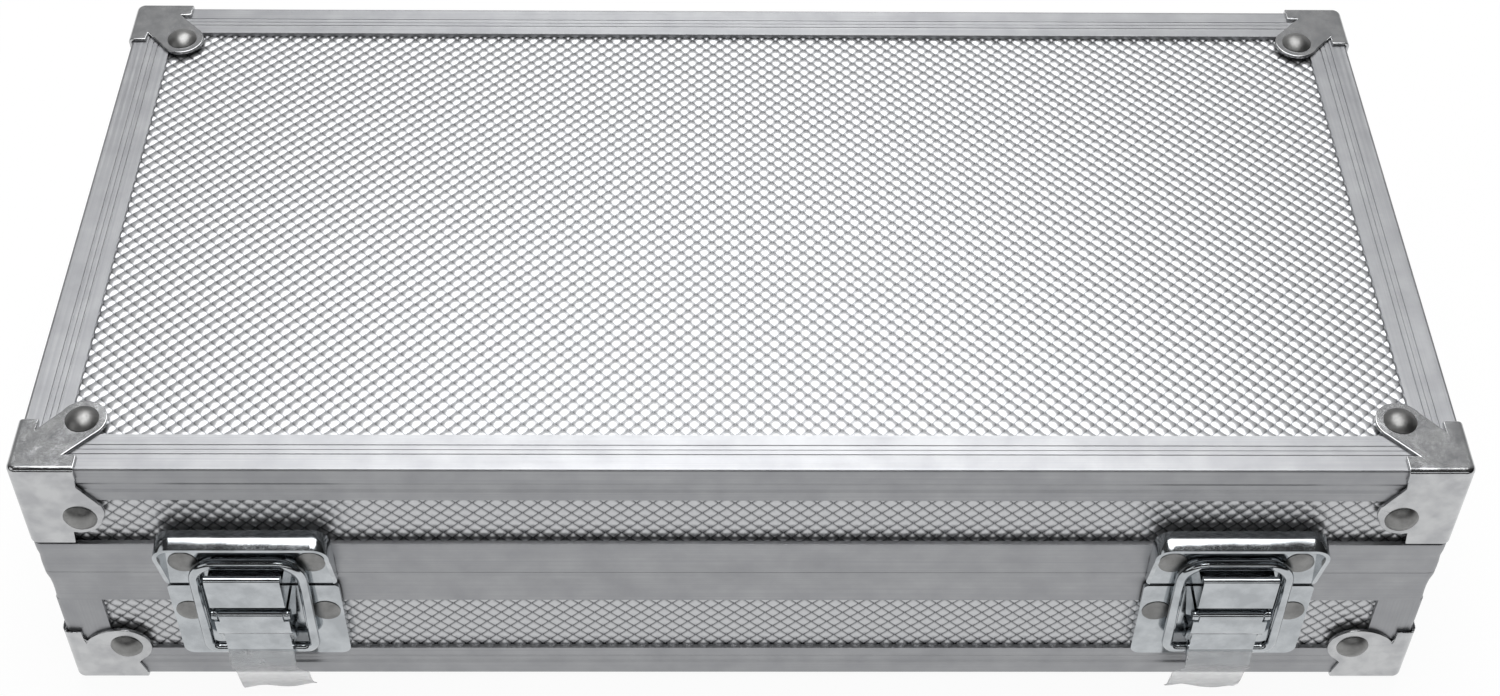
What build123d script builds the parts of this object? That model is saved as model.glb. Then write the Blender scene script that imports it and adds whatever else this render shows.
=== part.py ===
from build123d import *
from math import cos, radians, sin
import os

os.makedirs("parts", exist_ok=True)

# Poker chip case: a laminated board box in aluminium edging, opening on two rear hinges and
# held shut by two draw latches.  Millimetres, +Z up, front of the case towards -Y.
# Depths marked "out" are measured outwards from the face of the edging, "in" inwards.

# ---- driving dimensions -------------------------------------------------------------------
case_width = 288.4        # over the edging, left to right
case_depth = 145.2        # over the edging, front to back
base_face = 1.8           # underside of the bottom edging above the table
top_face = 70.4           # top of the lid edging
rim_low = 28.3            # lower edge of the base rim
part_low = 38.4           # top of the base rim
part_high = 38.6          # bottom of the lid rim
rim_high = 47.9           # upper edge of the lid rim

# edging and corner post section
leg_wall = 1.0            # wall of the aluminium section
leg_outer = 9.3           # outer leg of the edging
leg_inner = 8.0           # inner leg of the edging
post_leg = 9.7            # outer leg of the base corner posts
lid_post_leg = 8.0        # outer leg of the lid corner posts
corner_block = 5.4        # solid root of the section, outer face to slot
edge_radius = 0.6
corner_radius = 1.2
line_grooves = ((4.1, 0.2), (5.3, 0.14), (6.5, 0.2))  # flat faces: distance from the edge, radius
cove_place, cove_half, cove_deep = 5.4, 2.1, 0.22       # shallow cove along the upright faces

# laminated panels
skin = 0.4
board = 3.0

# rims with their tongue and groove
rim_proud = 0.8
tongue_in = 2.6
tongue_wall = 1.2
tongue_height = 2.5
slot_base = 34.3          # end of the wall panel in the base rim
slot_lid = 43.3           # end of the wall panel in the lid rim

# corner guards and their rivets
guard_wall = 0.8
guard_reach = 24.0        # block that the guard is cut from
guard_rivet = (12.0, 12.6)
lobe_radius = 5.0
lid_lobe = (11.2, 56.4)   # rivet on the lid guard's side faces: from the corner, height
base_lobe = (12.2, 12.8)
rivet_head = 3.4
rivet_dome = 1.7
rivet_shank = 1.5
foot_dome = 1.0
foot_flat = 2.0

# latches
latch_x = 101.6
latch_half = 17.8
catch_low, catch_high = 36.2, 52.5
catch_out = 0.8
catch_wall = 0.8
catch_rim = 3.3
plate_low, plate_high = 11.5, 35.1
plate_out = 0.6
plate_wall = 0.9
catch_rivet = (13.1, 43.2)
plate_rivet = (14.2, 26.7)
latch_head = 3.0
latch_dome = 0.5
front_reach = 8.0         # outer face of the hook
sheet = 0.8               # lever and hook sheet
ear_half = 7.7
lever_pin_out, lever_pin_z = 6.4, 31.9
knuckle_radius = 1.2
lever_pin_radius = 0.7
loop_pin_out, loop_pin_z = 4.0, 17.1
bar_out, bar_z = 3.1, 44.36
hook_low = 35.4           # fold of the hook under the catch plate
curl, curl_z = 0.95, 44.05  # rolled top of the hook: radius and height
wire_radius = 1.15
loop_half = 11.1
running = 0.06            # radial clearance of the pivots

# rear hinges
hinge_x = 92.0
hinge_half = 17.0
hinge_out = 3.0
hinge_z = 38.5
hinge_wall = 0.9
hinge_knuckle = 2.0
hinge_pin = 1.1
hinge_share = 6.0         # half length of the middle knuckle
hinge_open = 100.0        # degrees at which the stops land on the base leaf
hinge_head = 2.4
fin_half = 1.35           # stop fins, outboard of the rivet heads

# inside
tray_top = 31.8
chip_radius = 20.25
tray_floor = 8.7          # lowest point of the wells
chip_row = 170.0
well_length = 91.0
card_width = 65.4
dice_width = 60.0
tray_clear = 0.3
scallop_radius = 16.0
lining = 3.0

# ---- derived places ------------------------------------------------------------------------
half_w = case_width / 2
half_d = case_depth / 2
span_w = case_width - 2 * corner_block     # between the roots of opposite edgings
span_d = case_depth - 2 * corner_block
panel = skin + board
grip = leg_wall + panel                   # face to the inner side of a panel

# section of the front wall: local x is "out", local y is height
front_section = Plane(origin=(0, -half_d, 0), x_dir=(0, -1, 0), z_dir=(-1, 0, 0))


def save(piece, name):
    piece.part.label = name
    export_step(piece.part, f"parts/{name}.step")


# ---- rivets --------------------------------------------------------------------------------
def rivet(head, dome, shank, length, flat=0.0):
    """Rivet standing on z = 0, its domed head above and its shank below."""
    with BuildPart() as body:
        with BuildSketch(Plane.XZ):
            with BuildLine():
                if flat:
                    Line((0, dome), (flat, dome))
                rise = ThreePointArc((flat, dome), (flat + (head - flat) * 0.62, dome * 0.72), (head, 0.15))
                Line(rise @ 1, (head, 0))
                Line((head, 0), (shank, 0))
                Line((shank, 0), (shank, -length))
                Line((shank, -length), (0, -length))
                Line((0, -length), (0, dome))
            make_face()
        revolve(axis=Axis.Z)
    return body.part


def face_plane(x, y, z, normal):
    return Plane(origin=(x, y, z), z_dir=normal)


def corner_signs():
    return [(sx, sy) for sx in (-1, 1) for sy in (-1, 1)]


# rivet places on the corner guards, given by corner and face
lid_sites = []
base_sites = []
foot_sites = []
for sx, sy in corner_signs():
    gx = sx * (half_w - guard_rivet[0])
    gy = sy * (half_d - guard_rivet[1])
    wall_x = sx * (half_w + guard_wall)
    wall_y = sy * (half_d + guard_wall)
    lid_sites.append(face_plane(gx, gy, top_face + guard_wall, (0, 0, 1)))
    foot_sites.append(face_plane(gx, gy, base_face - guard_wall, (0, 0, -1)))
    for sites, (lobe_x, lobe_z) in ((lid_sites, lid_lobe), (base_sites, base_lobe)):
        sites.append(face_plane(sx * (half_w - lobe_x), wall_y, lobe_z, (0, sy, 0)))
        sites.append(face_plane(wall_x, sy * (half_d - lobe_x), lobe_z, (sx, 0, 0)))

catch_sites = []
plate_sites = []
leaf_lid_sites = []
leaf_base_sites = []
hinge_rivet_x = 11.5
hinge_lid_z = 44.2
hinge_base_z = 32.8
for side in (-1, 1):
    for step in (-1, 1):
        x = side * latch_x + step * catch_rivet[0]
        catch_sites.append(face_plane(x, -half_d - catch_out - catch_wall, catch_rivet[1], (0, -1, 0)))
        x = side * latch_x + step * plate_rivet[0]
        plate_sites.append(face_plane(x, -half_d - plate_out - plate_wall, plate_rivet[1], (0, -1, 0)))
        x = side * hinge_x + step * hinge_rivet_x
        leaf_out = half_d + rim_proud + hinge_wall
        leaf_lid_sites.append(face_plane(x, leaf_out, hinge_lid_z, (0, 1, 0)))
        leaf_base_sites.append(face_plane(x, leaf_out, hinge_base_z, (0, 1, 0)))

guard_length = guard_wall + grip
catch_length = catch_out + catch_wall + 1.9
plate_length = plate_out + plate_wall + grip
leaf_length = rim_proud + hinge_wall + 1.9
leaf_base_length = rim_proud + hinge_wall + grip


def rivet_group(sites, head, dome, length, flat=0.0):
    pattern = rivet(head, dome, rivet_shank, length, flat)
    with BuildPart() as group:
        for site in sites:
            with Locations(site.location):
                add(pattern)
    return group


def drill_group(sites, length):
    """Rivet holes a little wider than the shanks, through the whole stack."""
    with BuildPart() as holes:
        for site in sites:
            with Locations(site.location):
                Cylinder(rivet_shank + 0.05, length + 0.6, align=(Align.CENTER, Align.CENTER, Align.MAX))
    return holes.part


lid_rivets = rivet_group(lid_sites, rivet_head, rivet_dome, guard_length)
base_rivets = rivet_group(base_sites, rivet_head, rivet_dome, guard_length)
foot_rivets = rivet_group(foot_sites, rivet_head, foot_dome, guard_length, foot_flat)
catch_rivets = rivet_group(catch_sites, latch_head, latch_dome, catch_length)
plate_rivets = rivet_group(plate_sites, latch_head, latch_dome, plate_length)
hinge_lid_rivets = rivet_group(leaf_lid_sites, hinge_head, latch_dome, leaf_length)
hinge_base_rivets = rivet_group(leaf_base_sites, hinge_head, latch_dome, leaf_base_length)
save(lid_rivets, "lid_corner_rivets")
save(base_rivets, "base_corner_rivets")
save(foot_rivets, "foot_rivets")
save(catch_rivets, "catch_rivets")
save(plate_rivets, "latch_rivets")
save(hinge_lid_rivets, "hinge_lid_rivets")
save(hinge_base_rivets, "hinge_base_rivets")

lid_holes = [drill_group(lid_sites, guard_length), drill_group(catch_sites, catch_length)]
lid_holes.append(drill_group(leaf_lid_sites, leaf_length))
base_holes = [drill_group(base_sites, guard_length), drill_group(foot_sites, guard_length)]
base_holes += [drill_group(plate_sites, plate_length), drill_group(leaf_base_sites, leaf_base_length)]
print("rivets done")


# ---- laminated panels ----------------------------------------------------------------------
def wall_sheets(low, high, out, thick, holes):
    """Front, back, left and right sheets whose outer face lies "out" inside the edging face."""
    sheets = {}
    height = high - low
    for name, sx, sy in (("front", 0, -1), ("back", 0, 1), ("left", -1, 0), ("right", 1, 0)):
        with BuildPart() as sheet_part:
            if sy:
                spot = (0, sy * (half_d - out - thick / 2), low)
                size = (span_w, thick)
            else:
                spot = (sx * (half_w - out - thick / 2), 0, low)
                size = (thick, span_d)
            with BuildSketch(Plane(origin=spot)):
                Rectangle(*size)
            extrude(amount=height)
            for hole in holes:
                add(hole, mode=Mode.SUBTRACT)
        sheets[name] = sheet_part
    return sheets


def flat_sheet(low, thick, holes):
    with BuildPart() as sheet_part:
        with BuildSketch(Plane.XY.offset(low)):
            Rectangle(span_w, span_d)
        extrude(amount=thick)
        for hole in holes:
            add(hole, mode=Mode.SUBTRACT)
    return sheet_part


lid_wall_top = top_face - corner_block
base_wall_low = base_face + corner_block
for half, low, high, holes in (
    ("lid", slot_lid, lid_wall_top, lid_holes),
    ("base", base_wall_low, slot_base, base_holes),
):
    boards = wall_sheets(low, high, leg_wall + skin, board, holes)
    for name, piece in boards.items():
        save(piece, f"{half}_{name}_board")
    skins = wall_sheets(low, high, leg_wall, skin, holes)
    with BuildPart() as skin_set:
        for piece in skins.values():
            add(piece.part)
    save(skin_set, f"{half}_wall_skins")

save(flat_sheet(top_face - grip, board, lid_holes), "lid_top_board")
save(flat_sheet(top_face - leg_wall - skin, skin, lid_holes), "lid_top_skin")
save(flat_sheet(base_face + leg_wall + skin, board, base_holes), "base_floor_board")
save(flat_sheet(base_face + leg_wall, skin, base_holes), "base_floor_skin")
print("panels done")


# ---- aluminium angle section ---------------------------------------------------------------
def angle_section(outer, inner, radius, grooved):
    """Section with its outer corner at the origin and both legs along +x and +y.

    Two outer legs and two inner legs spring from a solid root, so that each pair grips a panel.
    """
    with BuildSketch() as section:
        with Locations((0, 0)):
            Rectangle(outer, leg_wall, align=Align.MIN)
            Rectangle(leg_wall, outer, align=Align.MIN)
            Rectangle(corner_block, corner_block, align=Align.MIN)
        with Locations((0, grip)):
            Rectangle(inner, leg_wall, align=Align.MIN)
        with Locations((grip, 0)):
            Rectangle(leg_wall, inner, align=Align.MIN)
        fillet(section.vertices().sort_by_distance((0, 0))[0], radius)
        if grooved:
            for place, groove in line_grooves:
                with Locations((place, 0)):
                    Circle(groove, mode=Mode.SUBTRACT)
            with BuildLine():
                Polyline(
                    (-0.5, cove_place - cove_half - 1.0),
                    (cove_deep, cove_place - 0.7),
                    (cove_deep, cove_place + 0.7),
                    (-0.5, cove_place + cove_half + 1.0),
                    close=True,
                )
            make_face(mode=Mode.SUBTRACT)
    return section.sketch


with BuildPart() as envelope:
    with BuildSketch(Plane.XY.offset(base_face)):
        RectangleRounded(case_width, case_depth, corner_radius)
    extrude(amount=top_face - base_face)
    fillet(envelope.edges().group_by(Axis.Z)[0], edge_radius)
    fillet(envelope.edges().group_by(Axis.Z)[-1], edge_radius)


def edging(side, low):
    """One mitred length of edging: side is front, back, left or right; low is True on the base."""
    section = angle_section(leg_outer, leg_inner, edge_radius, True)
    corner_z = base_face if low else top_face
    rise = 1 if low else -1
    places = {
        "front": ((-half_w, -half_d), (0, 1, 0), (1, 0, 0), case_width),
        "back": ((half_w, half_d), (0, -1, 0), (-1, 0, 0), case_width),
        "left": ((-half_w, half_d), (1, 0, 0), (0, -1, 0), case_depth),
        "right": ((half_w, -half_d), (-1, 0, 0), (0, 1, 0), case_depth),
    }
    corner, inwards, along, length = places[side]
    # local x runs inwards and local y towards the middle of the case's height
    normal = Vector(*inwards).cross(Vector(0, 0, rise))
    run = length if normal.dot(Vector(*along)) > 0 else -length
    start = Plane(origin=(corner[0], corner[1], corner_z), x_dir=inwards, z_dir=normal)
    with BuildPart() as piece:
        with BuildSketch(start):
            add(section)
        extrude(amount=run)
        # mitres: keep the part on this side of the corner diagonals
        for end in (0, 1):
            tip = Vector(corner[0], corner[1], 0) + Vector(*along) * (length * end)
            slope = Vector(*along) * (1 - 2 * end) - Vector(*inwards)
            split(bisect_by=Plane(origin=tip, z_dir=slope), keep=Keep.TOP)
        add(envelope.part, mode=Mode.INTERSECT)
        for hole in (base_holes if low else lid_holes):
            add(hole, mode=Mode.SUBTRACT)
    return piece


for half, low in (("lid", False), ("base", True)):
    for side in ("front", "back", "left", "right"):
        save(edging(side, low), f"{half}_{side}_edging")
print("edging done")


def posts(outer, low, high, holes):
    """Four corner posts between the edging and the rim."""
    section = angle_section(outer, leg_inner, corner_radius, False)
    with BuildPart() as group:
        with BuildSketch(Plane(origin=(-half_w, -half_d, low))):
            add(section)
        extrude(amount=high - low)
        mirror(about=Plane.YZ)
        mirror(about=Plane.XZ)
        for hole in holes:
            add(hole, mode=Mode.SUBTRACT)
    return group


save(posts(lid_post_leg, rim_high, top_face - leg_outer, lid_holes), "lid_corner_posts")
save(posts(post_leg, base_face + leg_outer, rim_low, base_holes), "base_corner_posts")


# ---- rims ----------------------------------------------------------------------------------
def rim_course():
    """Closed path round the edging face, starting at the middle of the front."""
    x = half_w - corner_radius
    y = half_d - corner_radius
    with BuildLine() as course:
        Line((0, -half_d), (x, -half_d))
        CenterArc((x, -y), corner_radius, -90, 90)
        Line((half_w, -y), (half_w, y))
        CenterArc((x, y), corner_radius, 0, 90)
        Line((x, half_d), (-x, half_d))
        CenterArc((-x, y), corner_radius, 90, 90)
        Line((-half_w, y), (-half_w, -y))
        CenterArc((-x, -y), corner_radius, 180, 90)
        Line((-x, -half_d), (0, -half_d))
    return course.wire()


def ring(inset_out, inset_in, low, high, mode=Mode.ADD):
    with BuildSketch(Plane.XY.offset(low)) as flat:
        outer_radius = corner_radius - inset_out if inset_out < corner_radius else 0.4
        RectangleRounded(case_width - 2 * inset_out, case_depth - 2 * inset_out, outer_radius)
        Rectangle(case_width - 2 * inset_in, case_depth - 2 * inset_in, mode=Mode.SUBTRACT)
    extrude(flat.sketch, amount=high - low, mode=mode)


course = rim_course()
with BuildPart() as base_rim:
    with BuildSketch(front_section):
        with BuildLine():
            foot = Line((-leg_wall, rim_low), (0.05, rim_low))
            swell = Polyline(foot @ 1, (0.15, rim_low + 0.1), (0.15, rim_low + 0.3), (0.0, rim_low + 3.4))
            cove = ThreePointArc(swell @ 1, (0.12, rim_low + 6.2), (0.6, part_low - 1.6))
            brow = Line(cove @ 1, (0.64, part_low - 0.1))
            lip = Line(brow @ 1, (0.54, part_low))
            Polyline(lip @ 1, (-leg_wall, part_low), foot @ 0)
        make_face()
    sweep(path=course)
    ring(leg_wall, corner_block, slot_base, part_low)
    ring(grip, corner_block, rim_low, slot_base)
    ring(tongue_in, tongue_in + tongue_wall, part_low, part_low + tongue_height)
    for hole in base_holes:
        add(hole, mode=Mode.SUBTRACT)
save(base_rim, "base_rim")

with BuildPart() as lid_rim:
    with BuildSketch(front_section):
        with BuildLine():
            foot = Line((-leg_wall, part_high), (0.54, part_high))
            heel = Line(foot @ 1, (0.64, part_high + 0.1))
            land = Line(heel @ 1, (0.68, part_high + 3.9))
            cove = ThreePointArc(land @ 1, (0.36, part_high + 5.0), (rim_proud - 0.06, part_high + 5.9))
            brow = Line(cove @ 1, (rim_proud, rim_high - 0.3))
            lip = ThreePointArc(brow @ 1, (rim_proud - 0.09, rim_high - 0.09), (rim_proud - 0.3, rim_high))
            # a narrow trough between the lip and the panel
            trough = Polyline(lip @ 1, (-0.3, rim_high), (-0.3, rim_high - 1.3), (-leg_wall, rim_high - 1.3))
            Line(trough @ 1, foot @ 0)
        make_face()
    sweep(path=course)
    ring(leg_wall, corner_block, part_high, slot_lid)
    ring(grip, corner_block, slot_lid, rim_high)
    ring(tongue_in - 0.4, tongue_in + tongue_wall + 0.5, part_high, part_high + 2.9, Mode.SUBTRACT)
    for hole in lid_holes:
        add(hole, mode=Mode.SUBTRACT)
save(lid_rim, "lid_rim")
print("rims done")


# ---- stamped corner guards -----------------------------------------------------------------
def lid_face_outline():
    """Lid guard on a side face: x from the corner, y the height."""
    low, high = rim_high + 0.4, top_face + guard_wall
    with BuildSketch() as face:
        with BuildLine():
            edge = Polyline((-2, low), (8.7, low), (9.0, 51.8))
            under = ThreePointArc(edge @ 1, (13.4, 52.5), (15.7, 56.0))
            ear = ThreePointArc(under @ 1, (16.4, 58.4), (15.6, 60.6))
            Polyline(ear @ 1, (12.2, 65.6), (12.8, high + 1), (-2, high + 1), (-2, low))
        make_face()
    return face.sketch


def base_face_outline():
    """Base guard on a side face: two arcs meeting in a notch, and the round rivet lobe."""
    low = base_face - guard_wall
    reach_x, reach_z = base_lobe
    with BuildSketch() as face:
        with BuildLine():
            shoulder = ThreePointArc((-2, 19.2), (1.2, 16.3), (3.7, 15.2))
            notch = Line(shoulder @ 1, (3.9, 14.2))
            crown = ThreePointArc(notch @ 1, (7.4, 17.3), (reach_x, reach_z + 5.5))
            bow = ThreePointArc(crown @ 1, (reach_x + 5.3, reach_z), (reach_x + 3.0, reach_z - 4.6))
            Polyline(bow @ 1, (13.8, 6.7), (14.8, 3.6), (14.9, low - 1), (-2, low - 1), (-2, 19.2))
        make_face()
    return face.sketch


def flat_outline():
    """Lobe on the top or bottom face: a diagonal tongue with two narrow wings."""
    gx, gy = guard_rivet
    with BuildSketch() as face:
        with Locations((-2, -2)):
            Rectangle(14.6, 5.2, align=Align.MIN)
            Rectangle(5.0, 13.6, align=Align.MIN)
        with BuildLine():
            Polyline((0, 0), (9.4, 2.6), (gx + 3.9, gy - 3.1), (gx - 2.9, gy + 4.0), (2.6, 9.2), (0, 0))
        make_face()
        with Locations((gx, gy)):
            Circle(lobe_radius)
    return face.sketch


def guard(low):
    """Guard of the front left corner, for the lid or, with low, for the base."""
    corner = (-half_w - guard_wall, -half_d - guard_wall)
    bottom = base_face - guard_wall if low else rim_high + 0.4
    height = 19.0 if low else top_face + guard_wall - bottom
    with BuildPart() as shell:
        with BuildSketch(Plane(origin=(corner[0], corner[1], bottom))):
            Rectangle(guard_reach, guard_reach, align=Align.MIN)
        extrude(amount=height)
        upright = shell.edges().filter_by(Axis.Z).sort_by_distance((corner[0], corner[1], bottom))[0]
        fillet(upright, corner_radius + guard_wall)
        flat = shell.faces().sort_by(Axis.Z)[0 if low else -1]
        soft = flat.edges().filter_by(lambda e: e.center().X < corner[0] + 8 or e.center().Y < corner[1] + 8)
        fillet(soft, edge_radius + guard_wall - 0.2)
        open_faces = shell.faces().filter_by(Axis.X).sort_by(Axis.X)[-1:]
        open_faces += shell.faces().filter_by(Axis.Y).sort_by(Axis.Y)[-1:]
        open_faces += shell.faces().filter_by(Axis.Z).sort_by(Axis.Z)[(-1 if low else 0):][:1]
        offset(amount=-guard_wall, openings=open_faces)
    deep = 3.4
    side_outline = base_face_outline() if low else lid_face_outline()
    with BuildPart() as trim:
        front_plane = Plane(origin=(-half_w, -half_d + deep, 0), x_dir=(1, 0, 0), z_dir=(0, -1, 0))
        with BuildSketch(front_plane):
            add(side_outline)
        extrude(amount=deep + guard_wall + 1)
        side_plane = Plane(origin=(-half_w + deep, -half_d, 0), x_dir=(0, 1, 0), z_dir=(1, 0, 0))
        with BuildSketch(side_plane):
            add(side_outline)
        extrude(amount=-deep - guard_wall - 1)
        flat_z = base_face - guard_wall - 1 if low else top_face - deep + 0.8
        with BuildSketch(Plane(origin=(-half_w, -half_d, flat_z))):
            add(flat_outline())
        extrude(amount=deep + 1)
    with BuildPart() as piece:
        add(shell.part)
        add(trim.part, mode=Mode.INTERSECT)
        for hole in (base_holes if low else lid_holes)[:2]:
            add(hole, mode=Mode.SUBTRACT)
    return piece


for half, low in (("lid", False), ("base", True)):
    first = guard(low)
    for sx, sy in corner_signs():
        name = f"{half}_guard_{'front' if sy < 0 else 'back'}_{'left' if sx < 0 else 'right'}"
        with BuildPart() as placed:
            piece = first.part
            if sx > 0:
                piece = piece.mirror(Plane.YZ)
            if sy > 0:
                piece = piece.mirror(Plane.XZ)
            add(piece)
        save(placed, name)
print("guards done")


# ---- draw latches --------------------------------------------------------------------------
def latch_section(x):
    """Side view of a latch: local x is "out", local y the height."""
    return Plane(origin=(x, -half_d, 0), x_dir=(0, -1, 0), z_dir=(-1, 0, 0))


def front_face(x, out):
    """Face view of a latch from outside: local x to the right, local y the height."""
    return Plane(origin=(x, -half_d - out, 0), x_dir=(1, 0, 0), z_dir=(0, -1, 0))


def catch_plate(x):
    """Dished plate on the lid; its lower tab is folded out and up into the hook."""
    height = catch_high - catch_low
    middle = (catch_low + catch_high) / 2
    face = catch_out + catch_wall
    rim_wall = 0.9
    top_round = 3.6
    # the loop bends down beyond the hook, so its bar bears on the outer edges of the cheeks
    saddle_z = bar_z - wire_radius - 0.95
    tongue_out = front_reach - sheet / 2
    shelf_z = hook_low + sheet / 2
    bend_radius = 0.6
    with BuildPart() as plate:
        with BuildSketch(front_face(x, catch_out)) as blank:
            with Locations((0, middle)):
                Rectangle(2 * latch_half, height)
            fillet(blank.vertices().group_by(Axis.Y)[-1], top_round)
            fillet(blank.vertices().group_by(Axis.Y)[0], 1.2)
        extrude(amount=catch_wall + catch_rim)
        with BuildSketch(front_face(x, face)) as dish:
            with Locations((0, middle - 2)):
                Rectangle(2 * (latch_half - rim_wall), height + 4 - 2 * rim_wall)
            fillet(dish.vertices().group_by(Axis.Y)[-1], top_round - rim_wall)
        extrude(amount=catch_rim, mode=Mode.SUBTRACT)
        # the rim falls away towards the lower edge
        with BuildSketch(latch_section(x)):
            with BuildLine():
                Polyline(
                    (face + 0.3, catch_low - 1),
                    (face + 0.3, catch_low + 1),
                    (face + catch_rim, catch_high - 4.5),
                    (face + catch_rim + 1, catch_high - 4.5),
                    (face + catch_rim + 1, catch_low - 1),
                    close=True,
                )
            make_face()
        extrude(amount=latch_half + 1, both=True, mode=Mode.SUBTRACT)
        with BuildSketch(latch_section(x)):
            with BuildLine():
                shelf = Line((catch_out + sheet / 2, shelf_z), (tongue_out - bend_radius, shelf_z))
                bend = RadiusArc(shelf @ 1, (tongue_out, shelf_z + bend_radius), -bend_radius)
                Line(bend @ 1, (tongue_out, curl_z))
            trace(line_width=sheet)
            with Locations((catch_out + sheet / 2, (shelf_z + catch_low) / 2 + 0.5)):
                Rectangle(sheet, catch_low - shelf_z + 1)
            with Locations((front_reach - curl, curl_z)):
                Circle(curl)
        extrude(amount=ear_half, both=True)
        for turn in (-1, 1):
            with BuildSketch(latch_section(x + turn * (ear_half - sheet / 2))):
                with BuildLine():
                    Polyline(
                        (catch_out, shelf_z),
                        (tongue_out - bend_radius, shelf_z),
                        (tongue_out, shelf_z + bend_radius),
                        (tongue_out, saddle_z + 1.2),
                        (tongue_out - 0.6, saddle_z),
                        (catch_out, saddle_z),
                        close=True,
                    )
                make_face()
            extrude(amount=sheet / 2, both=True)
        add(lid_holes[1], mode=Mode.SUBTRACT)
    return plate


def latch_plate(x):
    """Plate on the base: turned-in edges and two ears that carry the lever's pin."""
    height = plate_high - plate_low
    skirt_high = rim_low - 0.2
    face = plate_out + plate_wall
    ear_high = lever_pin_z + knuckle_radius
    with BuildPart() as plate:
        with BuildSketch(front_face(x, plate_out)) as blank:
            with Locations((0, plate_low + height / 2)):
                Rectangle(2 * latch_half, height)
            fillet(blank.vertices().group_by(Axis.Y)[0], 2.2)
            fillet(blank.vertices().group_by(Axis.Y)[-1], 1.0)
        extrude(amount=plate_wall)
        with BuildSketch(front_face(x, -leg_wall)) as skirt:
            with Locations((0, (plate_low + skirt_high) / 2)):
                Rectangle(2 * latch_half, skirt_high - plate_low)
            fillet(skirt.vertices().group_by(Axis.Y)[0], 2.2)
            with Locations((0, (plate_low + skirt_high) / 2 + 1)):
                inner_height = skirt_high - plate_low + 2 - 2 * plate_wall
                Rectangle(2 * (latch_half - plate_wall), inner_height, mode=Mode.SUBTRACT)
        extrude(amount=leg_wall + plate_out)
        for turn in (-1, 1):
            ear = latch_section(x + turn * (ear_half - sheet / 2))
            with BuildSketch(ear):
                with BuildLine():
                    Polyline(
                        (plate_out, 24.4),
                        (face, 25.4),
                        (4.9, 29.6),
                        (lever_pin_out, lever_pin_z - knuckle_radius),
                        (lever_pin_out, ear_high),
                        (plate_out, ear_high),
                        close=True,
                    )
                make_face()
                with Locations((lever_pin_out, lever_pin_z)):
                    Circle(knuckle_radius)
                    Circle(lever_pin_radius + 0.01, mode=Mode.SUBTRACT)
            extrude(amount=sheet / 2, both=True)
        add(base_holes[2], mode=Mode.SUBTRACT)
    return plate


def latch_lever(x):
    """Folded lever: knuckle at its top, side flanges, stepped tail and two pivot ears."""
    narrow = ear_half - sheet - 0.3
    tail_half = 6.85
    with BuildPart() as lever:
        with BuildSketch(latch_section(x)):
            with BuildLine():
                Polyline((7.0, lever_pin_z), (7.0, 27.0), (5.8, 24.6), (5.8, 17.0), (6.4, 14.2))
            trace(line_width=sheet)
        extrude(amount=ear_half, both=True)
        for turn in (-1, 1):
            # clear of the ears beside the knuckle, and narrower along the tail
            with BuildSketch(front_face(x, 3.0)):
                with Locations((turn * (narrow + 1), lever_pin_z + 0.1)):
                    Rectangle(2, 3.0)
                with Locations((turn * (tail_half + 1), 15.0)):
                    Rectangle(2, 20.0)
            extrude(amount=6, mode=Mode.SUBTRACT)
            with BuildSketch(latch_section(x + turn * (ear_half - sheet / 2))):
                with BuildLine():
                    cheek = Polyline((7.0, 29.2), (5.8, 28.9), (5.0, 25.6), (4.7, 21.8))
                    Polyline(cheek @ 1, (5.5, 21.8), (7.0, 27.0), cheek @ 0)
                make_face()
            extrude(amount=sheet / 2, both=True)
            with BuildSketch(latch_section(x + turn * (tail_half - 0.55))):
                with Locations(((loop_pin_out + 5.5) / 2, loop_pin_z)):
                    Rectangle(5.5 - loop_pin_out, 3.8)
                with Locations((loop_pin_out, loop_pin_z)):
                    Circle(1.9)
            extrude(amount=sheet / 2, both=True)
        with BuildSketch(latch_section(x)):
            with Locations((lever_pin_out, lever_pin_z)):
                Circle(knuckle_radius)
        extrude(amount=narrow, both=True)
        with BuildSketch(latch_section(x)):
            with Locations((lever_pin_out, lever_pin_z)):
                Circle(lever_pin_radius + running)
            with Locations((loop_pin_out, loop_pin_z)):
                Circle(wire_radius + running)
        extrude(amount=ear_half + 1, both=True, mode=Mode.SUBTRACT)
    return lever


def lever_film(x):
    """Clear film tab stuck over the lever's tail."""
    with BuildPart() as film:
        with BuildSketch(latch_section(x)):
            with BuildLine():
                Polyline((6.34, 18.9), (6.34, 16.98), (6.94, 14.1), (6.8, 7.9))
            trace(line_width=0.2)
        extrude(amount=7.9, both=True)
    return film


def latch_loop(x):
    """Wire loop whose ends turn in through the lever's pivot ears."""
    rise = Vector(0, -(bar_out - loop_pin_out), bar_z - loop_pin_z)
    outwards = Vector(1, 0, 0).cross(rise)
    flat = Plane(origin=(x, -half_d - loop_pin_out, loop_pin_z), x_dir=(1, 0, 0), z_dir=outwards)
    end = 5.6
    with BuildPart() as loop:
        with BuildLine(flat) as wire:
            FilletPolyline(
                (end, 0),
                (loop_half, 0),
                (loop_half, rise.length),
                (-loop_half, rise.length),
                (-loop_half, 0),
                (-end, 0),
                radius=[2.2, 5.0, 5.0, 2.2],
            )
        with BuildSketch(Plane(origin=wire.line @ 0, z_dir=wire.line % 0)):
            Circle(wire_radius)
        sweep(path=wire.line)
    return loop


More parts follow.
